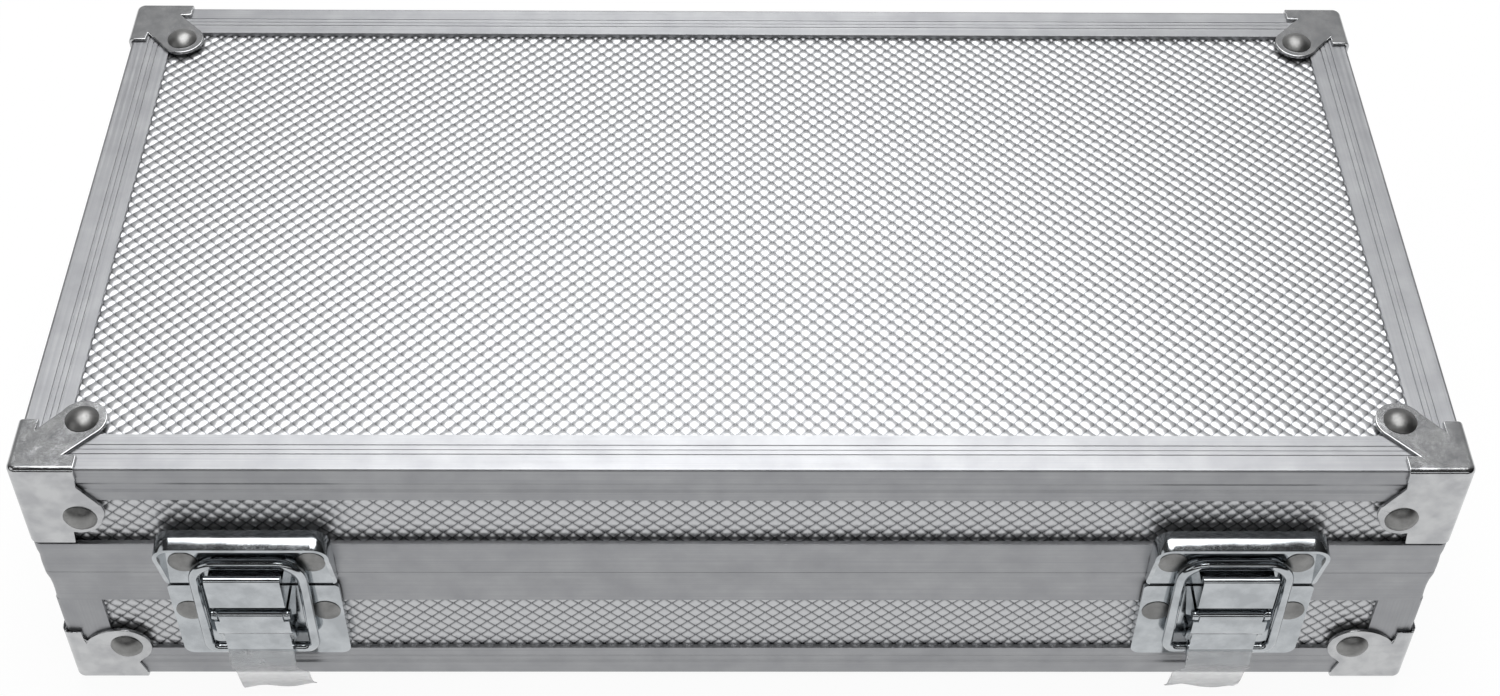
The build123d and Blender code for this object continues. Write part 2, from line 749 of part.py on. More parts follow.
def latch_pins():
    with BuildPart() as pins:
        for side in (-1, 1):
            with BuildSketch(latch_section(side * latch_x)):
                with Locations((lever_pin_out, lever_pin_z)):
                    Circle(lever_pin_radius)
            extrude(amount=ear_half + 0.4, both=True)
            for turn in (-1, 1):
                with BuildSketch(latch_section(side * latch_x + turn * (ear_half + 0.2))):
                    with Locations((lever_pin_out, lever_pin_z)):
                        Circle(lever_pin_radius + 0.4)
                extrude(amount=0.2, both=True)
    return pins


for side, name in ((-1, "left"), (1, "right")):
    save(catch_plate(side * latch_x), f"catch_plate_{name}")
    save(latch_plate(side * latch_x), f"latch_plate_{name}")
    save(latch_lever(side * latch_x), f"latch_lever_{name}")
    save(lever_film(side * latch_x), f"lever_film_{name}")
    save(latch_loop(side * latch_x), f"latch_loop_{name}")
save(latch_pins(), "latch_pins")
print("latches done")


# ---- rear hinges with built-in stops -------------------------------------------------------
def hinge_section(x):
    """Side view at the back: local x is "out", local y the height."""
    return Plane(origin=(x, half_d, 0), x_dir=(0, 1, 0), z_dir=(1, 0, 0))


leaf_face = rim_proud + hinge_wall
leaf_gap = hinge_knuckle + 0.3
stop_gap = 0.05


def leaf_block(x, half, low, high):
    with BuildSketch(hinge_section(x)) as plate:
        with Locations((rim_proud + hinge_wall / 2, (low + high) / 2)):
            Rectangle(hinge_wall, high - low)
    extrude(plate.sketch, amount=half, both=True)


def knuckle(x, half):
    with BuildSketch(hinge_section(x)) as barrel:
        with Locations((hinge_out, hinge_z)):
            Circle(hinge_knuckle)
    extrude(barrel.sketch, amount=half, both=True)


def bore(x, radius):
    with BuildSketch(hinge_section(x)) as hole:
        with Locations((hinge_out, hinge_z)):
            Circle(radius)
    extrude(hole.sketch, amount=hinge_half + 1, both=True, mode=Mode.SUBTRACT)


def lid_leaf(x):
    """Upper leaf: two end knuckles, each with a stop fin that meets the lower leaf when open."""
    end_half = (hinge_half - hinge_share - 0.3) / 2
    end_x = hinge_share + 0.3 + end_half
    turn = radians(hinge_open)
    # the fin is drawn as it lies on the lower leaf when the lid is open, then turned back
    down = Vector(0, sin(turn), -cos(turn))
    outwards = Vector(0, cos(turn), sin(turn))
    near = hinge_out - leaf_face - stop_gap
    reach = (front_reach - hinge_out + near * cos(turn)) / sin(turn)
    with BuildPart() as leaf:
        leaf_block(x, hinge_half, hinge_z + leaf_gap, 47.4)
        for way in (-1, 1):
            leaf_block(x + way * end_x, end_half, hinge_z, hinge_z + leaf_gap)
            knuckle(x + way * end_x, end_half)
            fin = Plane(
                origin=(x + way * (hinge_half - fin_half), half_d + hinge_out, hinge_z),
                x_dir=outwards,
                z_dir=outwards.cross(down),
            )
            with BuildSketch(fin):
                with Locations((-near, 1.2)):
                    Rectangle(1.0, reach - 1.2, align=Align.MIN)
            extrude(amount=fin_half, both=True)
        bore(x, hinge_pin + running)
        add(lid_holes[2], mode=Mode.SUBTRACT)
    return leaf


def base_leaf(x):
    with BuildPart() as leaf:
        leaf_block(x, hinge_half, 30.0, hinge_z - leaf_gap)
        leaf_block(x, hinge_share, hinge_z - leaf_gap, hinge_z)
        knuckle(x, hinge_share)
        bore(x, hinge_pin + 0.01)
        add(base_holes[3], mode=Mode.SUBTRACT)
    return leaf


with BuildPart() as hinge_pins:
    for side in (-1, 1):
        with BuildSketch(hinge_section(side * hinge_x)):
            with Locations((hinge_out, hinge_z)):
                Circle(hinge_pin)
        extrude(amount=hinge_half + 0.3, both=True)
        for way in (-1, 1):
            with BuildSketch(hinge_section(side * hinge_x + way * (hinge_half + 0.55))):
                with Locations((hinge_out, hinge_z)):
                    Circle(hinge_pin + 0.5)
            extrude(amount=0.25, both=True)
save(hinge_pins, "hinge_pins")
for side, name in ((-1, "left"), (1, "right")):
    save(lid_leaf(side * hinge_x), f"hinge_lid_leaf_{name}")
    save(base_leaf(side * hinge_x), f"hinge_base_leaf_{name}")
print("hinges done")


# ---- inside --------------------------------------------------------------------------------
tray_low = base_face + grip
tray_step = tray_low + leg_wall + 0.1
tray_w = span_w - 2 * tray_clear
tray_d = span_d - 2 * tray_clear
wall_x = (tray_w - chip_row - well_length) / 3
wall_row = (tray_d - 6 * chip_radius) / 4
wall_well = (tray_d - card_width - dice_width) / 3
row_x = -tray_w / 2 + wall_x + chip_row / 2
well_x = tray_w / 2 - wall_x - well_length / 2
chip_axis = tray_floor + chip_radius
spigot_in = 2 * (leg_inner - corner_block + 0.4)

with BuildPart() as tray:
    with BuildSketch(Plane.XY.offset(tray_low)):
        Rectangle(span_w - spigot_in, span_d - spigot_in)
    extrude(amount=tray_step - tray_low)
    with BuildSketch(Plane.XY.offset(tray_step)):
        Rectangle(tray_w, tray_d)
    extrude(amount=tray_top - tray_step)
    # three round-bottomed rows for chips standing on edge
    for row in (-1, 0, 1):
        y = row * (2 * chip_radius + wall_row)
        with BuildSketch(Plane(origin=(row_x, y, 0), x_dir=(0, 1, 0), z_dir=(1, 0, 0))):
            with Locations((0, chip_axis)):
                Circle(chip_radius)
            with Locations((0, chip_axis + chip_radius)):
                Rectangle(2 * chip_radius, 2 * chip_radius)
        extrude(amount=chip_row / 2, both=True, mode=Mode.SUBTRACT)
    # wells for the cards and for the dice and dealer button
    card_y = -tray_d / 2 + wall_well + card_width / 2
    dice_y = tray_d / 2 - wall_well - dice_width / 2
    for y, width in ((card_y, card_width), (dice_y, dice_width)):
        with BuildSketch(Plane.XY.offset(tray_floor)):
            with Locations((well_x, y)):
                RectangleRounded(well_length, width, 3.0)
        extrude(amount=tray_top, mode=Mode.SUBTRACT)
    # finger scallops across the walls between the rows, and beside the cards
    with BuildSketch(Plane(origin=(row_x, 0, 0), x_dir=(1, 0, 0), z_dir=(0, -1, 0))):
        with Locations((0, tray_top + scallop_radius - 9.0)):
            Circle(scallop_radius)
    extrude(amount=chip_radius + wall_row + 1, both=True, mode=Mode.SUBTRACT)
save(tray, "chip_tray")

with BuildPart() as pad:
    pad_top = top_face - grip
    with BuildSketch(Plane.XY.offset(pad_top - lining)):
        Rectangle(span_w - spigot_in, span_d - spigot_in)
    extrude(amount=lining)
    fillet(pad.edges().group_by(Axis.Z)[0], 1.0)
save(pad, "lid_lining")
print("tray done")
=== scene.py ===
import math

import bmesh
import bpy
import numpy as np
from mathutils import Matrix, Vector


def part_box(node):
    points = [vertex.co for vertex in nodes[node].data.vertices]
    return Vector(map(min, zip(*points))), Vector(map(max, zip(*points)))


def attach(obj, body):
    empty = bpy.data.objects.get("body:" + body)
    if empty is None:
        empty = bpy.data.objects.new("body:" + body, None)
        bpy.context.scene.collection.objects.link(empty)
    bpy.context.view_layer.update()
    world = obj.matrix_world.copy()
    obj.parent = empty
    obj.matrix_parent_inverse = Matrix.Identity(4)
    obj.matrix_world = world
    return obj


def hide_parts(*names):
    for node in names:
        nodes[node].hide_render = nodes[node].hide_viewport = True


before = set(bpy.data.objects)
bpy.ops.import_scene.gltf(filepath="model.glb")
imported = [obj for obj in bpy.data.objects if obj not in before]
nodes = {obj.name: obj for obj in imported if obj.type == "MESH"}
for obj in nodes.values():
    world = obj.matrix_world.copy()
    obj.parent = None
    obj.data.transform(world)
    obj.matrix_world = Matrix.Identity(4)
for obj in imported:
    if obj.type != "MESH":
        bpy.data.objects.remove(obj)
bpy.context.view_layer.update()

mm = 0.001
sides = ("left", "right")
corners = ("front_left", "front_right", "back_left", "back_right")


def linear(hexColour):
    # sRGB hex to linear light, with an alpha of one
    parts = [int(hexColour[i:i + 2], 16) / 255 for i in (1, 3, 5)]
    light = [c / 12.92 if c <= 0.04045 else ((c + 0.055) / 1.055) ** 2.4 for c in parts]
    return (*light, 1.0)


def repeats(size):
    # repeats per metre of a pattern that is this many millimetres long
    return 1 / (size * mm)


def fill(node, inputs):
    # sets each named socket to its value, or links it where an output is given
    for socket, value in inputs.items():
        if isinstance(value, bpy.types.NodeSocket):
            node.id_data.links.new(value, node.inputs[socket])
        else:
            node.inputs[socket].default_value = value


def addNode(tree, kind, inputs=None, stops=(), **settings):
    # adds one node with its properties and inputs, and a ramp's stops as places and colours,
    # where a plain number stands for a grey
    made = tree.nodes.new(kind)
    for name, value in settings.items():
        setattr(made, name, value)
    fill(made, inputs or {})
    for number, (place, value) in enumerate(stops):
        elements = made.color_ramp.elements
        element = elements[number] if number < len(elements) else elements.new(place)
        element.position = place
        element.color = value if isinstance(value, tuple) else (value, value, value, 1.0)
    return made


def newMaterial(name, inputs):
    made = bpy.data.materials.new(name)
    made.use_nodes = True
    shader = made.node_tree.nodes["Principled BSDF"]
    fill(shader, inputs)
    return made, made.node_tree, shader


def newObject(name, data):
    made = bpy.data.objects.new(name, data)
    bpy.context.scene.collection.objects.link(made)
    return made


def meshObject(name, points, faces, body, slotName, material, smooth=True):
    mesh = bpy.data.meshes.new(name)
    mesh.from_pydata(np.asarray(points).tolist(), [], [tuple(face) for face in faces])
    mesh.polygons.foreach_set("use_smooth", np.full(len(mesh.polygons), smooth))
    mesh.materials.append(material)
    made = newObject(name, mesh)
    if body:
        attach(made, body)
    return made


def closedSheet(top, bottom, nu, nv):
    # two grids of nu by nv points joined round their rim, faces pointing outwards
    first = (np.arange(nu - 1)[:, None] * nv + np.arange(nv - 1)).ravel()
    upper = np.stack([first, first + nv, first + nv + 1, first + 1], axis=1)
    lower = upper[:, ::-1] + nu * nv
    grid = np.arange(nu * nv).reshape(nu, nv)
    loop = np.concatenate([grid[:-1, 0], grid[-1, :-1], grid[:0:-1, -1], grid[0, :0:-1]])
    ahead = np.roll(loop, -1)
    walls = np.stack([ahead, loop, loop + nu * nv, ahead + nu * nv], axis=1)
    return np.concatenate([top, bottom]), np.concatenate([upper, lower, walls])


def markPoints(piece, name, values):
    # one number per point, which the piece's material reads
    mark = piece.data.attributes.new(name, "FLOAT", "POINT")
    mark.data.foreach_set("value", np.asarray(values, dtype=np.float32))


def nodeBox(name):
    low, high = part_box(name)
    return np.array(low), np.array(high)


# materials: each finish has its colours from dark to light, its roughness from the smoothest to
# the roughest place, and the sizes and depths of its patterns in millimetres
laminateFinish = {
    "metallic": 0.82,
    # painted shade: the grooves' dark grey stands for the shadow in the V grooves; the slope stop
    # lies between it and the pads' own grey
    "groove": "#66686b",
    "slope": "#b4b5b7",
    "pad": "#c8c9cb",
    "roughness": (0.28, 0.42),
    "grain": 0.303,            # the film's fine grain
    "grainDepth": 0.03,
}


def embossedLaminate():
    # Silver laminate on hardboard, pressed with a diamond lattice: the pads stay bright and
    # slightly glossy; the grooves between them are painted a darker grey, painted shade in the V
    # grooves.
    look = laminateFinish
    made, tree, shader = newMaterial("embossedSilverLaminate", {"Metallic": look["metallic"]})
    points = addNode(tree, "ShaderNodeTexCoord").outputs["Object"]
    relief = addNode(tree, "ShaderNodeAttribute", attribute_name="relief").outputs["Fac"]
    # the ramp paints shade into the grooves by the relief: darkest at a groove's floor, lighter up
    # its slopes, the pads' own grey on top
    colour = addNode(tree, "ShaderNodeValToRGB", {"Fac": relief}, [
        (0.0, linear(look["groove"])), (0.6, linear(look["slope"])), (1.0, linear(look["pad"]))])
    grain = addNode(tree, "ShaderNodeTexNoise", {
        "Vector": points, "Scale": repeats(look["grain"]), "Detail": 2.0}).outputs["Fac"]
    rough = addNode(tree, "ShaderNodeValToRGB", {"Fac": grain}, zip((0.3, 0.7), look["roughness"]))
    bump = addNode(tree, "ShaderNodeBump", {
        "Height": grain, "Strength": 0.15, "Distance": look["grainDepth"] * mm})
    fill(shader, {"Base Color": colour.outputs["Color"], "Roughness": rough.outputs["Color"],
                  "Normal": bump.outputs["Normal"]})
    return made


aluminiumFinish = {
    "dark": "#929396",
    "light": "#a6a7a9",
    "roughness": (0.36, 0.48),
    "lineLength": 83.33,       # die lines, along the section
    "lineGap": 0.4167,         # from one die line to the next
    "lineDepth": 0.04,
    "marks": 6.25,             # faint marks of handling
}


def extrudedAluminium(along):
    # Satin aluminium section: fine die lines run along its length, up to a hand's width long
    # and about 0.4 mm apart, with faint handling marks.
    look = aluminiumFinish
    made, tree, shader = newMaterial("satinAluminium_" + along, {"Metallic": 1.0})
    points = addNode(tree, "ShaderNodeTexCoord").outputs["Object"]
    stretch = [repeats(look["lineLength" if axis == along else "lineGap"]) for axis in "xyz"]
    drawn = addNode(tree, "ShaderNodeMapping", {"Vector": points, "Scale": stretch})
    lines = addNode(tree, "ShaderNodeTexNoise", {
        "Vector": drawn.outputs["Vector"], "Scale": 1.0, "Detail": 4.0}).outputs["Fac"]
    marks = addNode(tree, "ShaderNodeTexNoise", {
        "Vector": points, "Scale": repeats(look["marks"]), "Detail": 5.0}).outputs["Fac"]
    mixed = addNode(tree, "ShaderNodeMath", {0: lines, 1: marks}, operation="MULTIPLY")
    colour = addNode(tree, "ShaderNodeValToRGB", {"Fac": mixed.outputs[0]}, [
        (0.1, linear(look["dark"])), (0.45, linear(look["light"]))])
    rough = addNode(tree, "ShaderNodeValToRGB", {"Fac": lines}, zip((0.3, 0.7), look["roughness"]))
    bump = addNode(tree, "ShaderNodeBump", {
        "Height": lines, "Strength": 0.35, "Distance": look["lineDepth"] * mm})
    fill(shader, {"Base Color": colour.outputs["Color"], "Roughness": rough.outputs["Color"],
                  "Normal": bump.outputs["Normal"]})
    return made


steels = {
    "pressedNickelSteel": {"dark": "#abacae", "light": "#bfc0c1", "roughness": 0.16,
                           "grain": 0.5, "grainDepth": 0.02, "waves": 6.0},
    "nickelRivet": {"dark": "#767675", "light": "#8e8e8d", "roughness": 0.38,
                    "grain": 0.35, "grainDepth": 0.03},
    "brightChrome": {"dark": "#a6aaad", "light": "#b9bdc0", "roughness": 0.13,
                     "grain": 0.6, "grainDepth": 0.01, "waves": 9.0},
    "zincPlatedSteel": {"dark": "#9ea1a6", "light": "#b9bcc0", "roughness": 0.34,
                        "grain": 0.5, "grainDepth": 0.03},
}


def platedSteel(name, dark, light, roughness, grain, grainDepth, waves=0.0, waveDepth=0.25,
                drift=4.167):
    # Pressed steel with a bright plate: the colour and gloss drift a little over the piece,
    # and the drawn metal keeps soft waves a few millimetres long.
    made, tree, shader = newMaterial(name, {"Metallic": 1.0})
    points = addNode(tree, "ShaderNodeTexCoord").outputs["Object"]
    patches = addNode(tree, "ShaderNodeTexNoise", {
        "Vector": points, "Scale": repeats(drift), "Detail": 3.0}).outputs["Fac"]
    colour = addNode(tree, "ShaderNodeValToRGB", {"Fac": patches}, [
        (0.35, linear(dark)), (0.65, linear(light))])
    fine = addNode(tree, "ShaderNodeTexNoise", {
        "Vector": points, "Scale": repeats(grain), "Detail": 3.0}).outputs["Fac"]
    rough = addNode(tree, "ShaderNodeValToRGB", {"Fac": fine}, [
        (0.3, roughness * 0.8), (0.7, roughness * 1.3)])
    normal = addNode(tree, "ShaderNodeBump", {
        "Height": fine, "Strength": 0.2, "Distance": grainDepth * mm}).outputs["Normal"]
    if waves:
        swell = addNode(tree, "ShaderNodeTexNoise", {
            "Vector": points, "Scale": repeats(waves), "Detail": 1.0}).outputs["Fac"]
        normal = addNode(tree, "ShaderNodeBump", {
            "Height": swell, "Strength": 0.5, "Distance": waveDepth * mm, "Normal": normal,
        }).outputs["Normal"]
    fill(shader, {"Base Color": colour.outputs["Color"], "Roughness": rough.outputs["Color"],
                  "Normal": normal})
    return made


filmFinish = {
    "roughness": 0.32,
    "ior": 1.5,
    "dark": "#e9ebed",
    "light": "#f8f9fa",
    "cover": (0.2, 0.66),      # opacity where it clings and where it hangs free
    "bubbles": 1.923,          # from one trapped bubble to the next
    "bubbleDepth": 0.1,
    "clouds": 3.846,           # milky patches
}


def protectiveFilm():
    # Thin polyethylene film: clear where it clings to the metal, milky where it hangs free,
    # with small trapped bubbles.
    look = filmFinish
    made, tree, shader = newMaterial("protectiveFilm", {
        "Roughness": look["roughness"], "IOR": look["ior"]})
    points = addNode(tree, "ShaderNodeTexCoord").outputs["Object"]
    bubbles = addNode(tree, "ShaderNodeTexVoronoi", {
        "Vector": points, "Scale": repeats(look["bubbles"])})
    cloud = addNode(tree, "ShaderNodeTexNoise", {
        "Vector": points, "Scale": repeats(look["clouds"]), "Detail": 3.0}).outputs["Fac"]
    free = addNode(tree, "ShaderNodeAttribute", attribute_name="free").outputs["Fac"]
    milky = addNode(tree, "ShaderNodeMath", {0: cloud, 1: 0.3, 2: free}, operation="MULTIPLY_ADD")
    colour = addNode(tree, "ShaderNodeValToRGB", {"Fac": cloud}, [
        (0.3, linear(look["dark"])), (0.7, linear(look["light"]))])
    cover = addNode(tree, "ShaderNodeValToRGB", {"Fac": milky.outputs[0]},
                    zip((0.1, 0.9), look["cover"]))
    bump = addNode(tree, "ShaderNodeBump", {
        "Height": bubbles.outputs["Distance"], "Strength": 0.3,
        "Distance": look["bubbleDepth"] * mm})
    fill(shader, {"Base Color": colour.outputs["Color"], "Alpha": cover.outputs["Color"],
                  "Normal": bump.outputs["Normal"]})
    return made


boardFinish = {
    "roughness": 0.85,
    "wood": ("#5b432c", "#8a6a48"),
    "paper": ("#0c0c0e", "#1f1f22"),
    "fibre": 1.111,
    "fibreDepth": 0.1,
    "facing": 5,               # how far towards the middle a lined face looks at least
}


def linedHardboard():
    # Wet-pressed hardboard, brown and matt; its face towards the inside is covered with black
    # flocked paper. A face looks inwards where its normal and its place point opposite ways.
    look = boardFinish
    made, tree, shader = newMaterial("linedHardboard", {"Roughness": look["roughness"]})
    where = addNode(tree, "ShaderNodeTexCoord").outputs
    fibre = addNode(tree, "ShaderNodeTexNoise", {
        "Vector": where["Object"], "Scale": repeats(look["fibre"]), "Detail": 6.0}).outputs["Fac"]
    wood, paper = (addNode(tree, "ShaderNodeValToRGB", {"Fac": fibre}, [
        (0.35, linear(dark)), (0.65, linear(light))])
        for dark, light in (look["wood"], look["paper"]))
    level = addNode(tree, "ShaderNodeMapping", {"Vector": where["Object"], "Scale": (1, 1, 0)})
    towards = addNode(tree, "ShaderNodeVectorMath", {
        0: where["Normal"], 1: level.outputs["Vector"]}, operation="DOT_PRODUCT")
    inside = addNode(tree, "ShaderNodeMath", {
        0: towards.outputs["Value"], 1: -look["facing"] * mm}, operation="LESS_THAN")
    covered = addNode(tree, "ShaderNodeMix", {
        0: inside.outputs[0], 6: wood.outputs["Color"], 7: paper.outputs["Color"],
    }, data_type="RGBA")
    bump = addNode(tree, "ShaderNodeBump", {
        "Height": fibre, "Strength": 0.4, "Distance": look["fibreDepth"] * mm})
    fill(shader, {"Base Color": covered.outputs[2], "Normal": bump.outputs["Normal"]})
    return made


cloths = {
    "blackFlock": {"dark": "#08080a", "light": "#17171a", "pile": 0.35},
    "blackFelt": {"dark": "#0b0b0d", "light": "#1b1b1e", "pile": 0.5},
}


def pileCloth(name, dark, light, pile, pileDepth=0.25, brushed=22.22):
    # Black flock or felt: short fibres stand off the surface, so grazing light lifts its edges,
    # and the pile lies one way and the other in patches a finger wide.
    made, tree, shader = newMaterial(name, {
        "Roughness": 0.95, "Sheen Weight": 0.6, "Sheen Roughness": 0.5})
    points = addNode(tree, "ShaderNodeTexCoord").outputs["Object"]
    fibre, patches = (addNode(tree, "ShaderNodeTexNoise", {
        "Vector": points, "Scale": repeats(size), "Detail": detail}).outputs["Fac"]
        for size, detail in ((pile, 4.0), (brushed, 2.0)))
    mixed = addNode(tree, "ShaderNodeMath", {0: fibre, 1: patches}, operation="ADD")
    colour = addNode(tree, "ShaderNodeValToRGB", {"Fac": mixed.outputs[0]}, [
        (0.7, linear(dark)), (0.9286, linear(light))])
    bump = addNode(tree, "ShaderNodeBump", {
        "Height": fibre, "Strength": 0.6, "Distance": pileDepth * mm})
    fill(shader, {"Base Color": colour.outputs["Color"], "Normal": bump.outputs["Normal"]})
    return made


laminate = embossedLaminate()
aluminiumAlong = {axis: extrudedAluminium(axis) for axis in "xyz"}
guardSteel, rivetNickel, chrome, zincSteel = (
    platedSteel(name, **steel) for name, steel in steels.items())
film = protectiveFilm()
board = linedHardboard()
flock, felt = (pileCloth(name, **cloth) for name, cloth in cloths.items())
print("materials made")


def finishFor(name):
    # the material of each CAD node; the pieces copied from a node take it over
    if "board" in name:
        return board
    if "edging" in name:
        return aluminiumAlong["x" if "front" in name or "back" in name else "y"]
    if "posts" in name:
        return aluminiumAlong["z"]
    if name.endswith("_rim"):
        return aluminiumAlong["x"]
    if "guard" in name:
        return guardSteel
    if "film" in name:
        return film
    if "rivet" in name:
        return zincSteel if "hinge" in name else rivetNickel
    if "hinge" in name:
        return zincSteel
    if name == "chip_tray":
        return flock
    if name == "lid_lining":
        return felt
    if "skin" in name:
        return laminate
    return chrome


for name, piece in nodes.items():
    piece.data.materials.clear()
    piece.data.materials.append(finishFor(name))
print("finishes set on", len(nodes), "nodes")


# embossed skins: raised diamonds parted by V grooves, closed below by a flat back
emboss = {
    "pitchAcross": 3.3 * mm,   # full diamond along the panel
    "pitchUp": 3.2 * mm,       # full diamond across the panel
    "shoulder": 0.17,          # share of a diamond taken by the slope on each side
    "depth": 0.26 * mm,
}


def diamondSheet(width, height, thick):
    # Lattice lines a = x/p + y/q and b = x/p - y/q are whole numbers along the grooves.
    # A point lies low when a or b is whole and high when both are a shoulder away from it.
    # Points past the sheet's edge are brought back to it; walls and a flat back close the form.
    across, up, shoulder = emboss["pitchAcross"], emboss["pitchUp"], emboss["shoulder"]
    reach = math.ceil(width / across / 2 + height / up / 2)
    cells = np.arange(-reach, reach)
    lines = (cells[:, None] + np.array([0.0, shoulder, 1 - shoulder])).ravel()
    raised = np.tile([0.0, 1.0, 1.0], len(cells))
    a, b = np.meshgrid(lines, lines, indexing="ij")
    relief = np.minimum(*np.meshgrid(raised, raised, indexing="ij")).ravel()
    x, y = across * (a + b).ravel() / 2, up * (a - b).ravel() / 2
    count = len(lines)
    first = (np.arange(count - 1)[:, None] * count + np.arange(count - 1)).ravel()
    faces = np.stack([first, first + 1, first + count + 1, first + count], axis=1)[:, ::-1]
    inside = (np.abs(x) < width / 2) & (np.abs(y) < height / 2)
    faces = faces[inside[faces].any(axis=1)]
    used, faces = np.unique(faces, return_inverse=True)
    faces = faces.reshape(-1, 4)
    x = np.clip(x[used], -width / 2, width / 2)
    y = np.clip(y[used], -height / 2, height / 2)
    relief = relief[used]
    total = len(used)
    # an edge that no second face runs back along is on the rim
    start, end = faces.ravel(), np.roll(faces, -1, axis=1).ravel()
    rim = ~np.isin(start * total + end, end * total + start)
    start, end = start[rim], end[rim]
    top = np.stack([x, y, emboss["depth"] * (relief - 1)], axis=1)
    bottom = np.stack([x, y, np.full(total, -thick)], axis=1)
    centre = np.array([[0, 0, -thick]])
    walls = np.stack([end, start, start + total, end + total], axis=1)
    back = np.stack([end + total, start + total, np.full(len(start), 2 * total)], axis=1)
    points = np.concatenate([top, bottom, centre])
    heights = np.concatenate([relief, np.zeros(total + 1)])
    return points, [faces, walls, back], heights


def embossPiece(newName, nodeName, body, sheets):
    # each sheet is given by the middle of its face, its two directions, and its three sizes
    allPoints, allFaces, allHeights, offset = [], [], [], 0
    for centre, across, up, width, height, thick in sheets:
        points, groups, heights = diamondSheet(width, height, thick)
        axes = np.stack([across, up, np.cross(across, up)]).astype(float)
        moved = points @ axes + np.asarray(centre, dtype=float)
        kept = np.zeros(len(points), dtype=bool)
        for group in groups:
            kept[group.ravel()] = True
        renumber = np.cumsum(kept) - 1 + offset
        allPoints.append(moved[kept])
        allHeights.append(heights[kept])
        for group in groups:
            allFaces += renumber[group].tolist()
        offset += int(kept.sum())
    points = np.concatenate(allPoints)
    piece = meshObject(newName, points, allFaces, body, "embossed_sheet", laminate)
    markPoints(piece, "relief", np.concatenate(allHeights))
    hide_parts(nodeName)


def embossFlat(nodeName, newName, body, upwards):
    low, high = nodeBox(nodeName)
    middle, size = (low + high) / 2, high - low
    centre = (middle[0], middle[1], high[2] if upwards else low[2])
    turn = 1 if upwards else -1
    embossPiece(newName, nodeName, body, [(centre, (1, 0, 0), (0, turn, 0), *size)])


def embossWalls(nodeName, newName, body):
    # the edging takes the corners, so each wall is only as long as the top panel beside it
    low, high = nodeBox(nodeName)
    middle = (low[2] + high[2]) / 2
    topLow, topHigh = nodeBox("lid_top_skin")
    length, depth, thick = topHigh - topLow
    up, height = (0, 0, 1), high[2] - low[2]
    embossPiece(newName, nodeName, body, [
        ((0, low[1], middle), (1, 0, 0), up, length, height, thick),
        ((0, high[1], middle), (-1, 0, 0), up, length, height, thick),
        ((low[0], 0, middle), (0, -1, 0), up, depth, height, thick),
        ((high[0], 0, middle), (0, 1, 0), up, depth, height, thick),
    ])


embossFlat("lid_top_skin", "lidTopEmboss", "lid", True)
embossFlat("base_floor_skin", "baseFloorEmboss", "base", False)
embossWalls("lid_wall_skins", "lidWallEmboss", "lid")
embossWalls("base_wall_skins", "baseWallEmboss", "base")
print("skins embossed")


# pressed and folded pieces get the small rounded edges that the press leaves
pressed = {
    # radius of the rounded edges and the faces across it
    "catchPlate": {"radius": 0.4 * mm, "segments": 4},
    "latchPlate": {"radius": 0.2 * mm, "segments": 2},
    "latchLever": {"radius": 0.2 * mm, "segments": 2},
    "chipTray": {"radius": 0.7 * mm, "segments": 3, "sharp": 30},
}
merge = {
    "distance": 0.002 * mm,    # points of the CAD triangles closer than this are one
    "angle": 0.5,              # and faces within this many degrees
}


def roundedCopy(nodeName, newName, body, slotName, radius, segments, sharp=35, shape=None):
    # Copy of the node, its triangles merged back to flat faces, with a narrow bevel on the edges
    # that turn by more than sharp degrees. A shape function may move the merged points, and it
    # returns True where it has given each edge its own share of the radius.
    mesh = nodes[nodeName].data.copy()
    mesh.name = newName
    solid = bmesh.new()
    solid.from_mesh(mesh)
    bmesh.ops.remove_doubles(solid, verts=solid.verts, dist=merge["distance"])
    bmesh.ops.dissolve_limit(solid, angle_limit=math.radians(merge["angle"]),
                             verts=solid.verts, edges=solid.edges)
    weighted = shape(solid) if shape else False
    bmesh.ops.connect_verts_concave(solid, faces=solid.faces[:])   # pierced flats fill wrongly
    solid.to_mesh(mesh)
    solid.free()
    mesh.polygons.foreach_set("use_smooth", np.ones(len(mesh.polygons), dtype=bool))
    piece = newObject(newName, mesh)
    bevel = piece.modifiers.new("pressedEdge", "BEVEL")
    bevel.width = radius
    bevel.segments = segments
    bevel.limit_method = "WEIGHT" if weighted else "ANGLE"
    bevel.angle_limit = math.radians(sharp)
    bevel.use_clamp_overlap = not weighted
    even = piece.modifiers.new("evenNormals", "WEIGHTED_NORMAL")
    even.weight = 100
    even.keep_sharp = True
    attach(piece, body)
    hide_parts(nodeName)
    return piece


guard = {
    "folded": 1.8 * mm,        # radius of the folds that run over the case's edges
    "cut": 0.25 * mm,          # radius of the trimmed edges
    "segments": 5,
    "sharp": 35,               # degrees of turn from which an edge is rounded
    "onPlane": 0.01 * mm,      # how close to an outer plane an edge of it lies
    "shortest": 3 * mm,        # a fold is longer than this
    "lidAbove": 40 * mm,       # a guard whose mean height is more than this is the lid's
}


def foldedEdges(solid):
    # an edge is a fold where it lies on two of the guard's three outer planes
    places = np.array([vert.co for vert in solid.verts])
    low, high = places.min(axis=0), places.max(axis=0)
    outer = np.where(np.abs(low) > np.abs(high), low, high)
    outer[2] = high[2] if places[:, 2].mean() > guard["lidAbove"] else low[2]
    weights = solid.edges.layers.float.new("bevel_weight_edge")
    for edge in solid.edges:
        if edge.calc_face_angle(0.0) < math.radians(guard["sharp"]):
            continue
        ends = np.array([vert.co for vert in edge.verts])
        planes = (np.abs(ends - outer) < guard["onPlane"]).all(axis=0).sum()
        fold = planes == 2 and edge.calc_length() > guard["shortest"]
        edge[weights] = 1.0 if fold else guard["cut"] / guard["folded"]
    return True


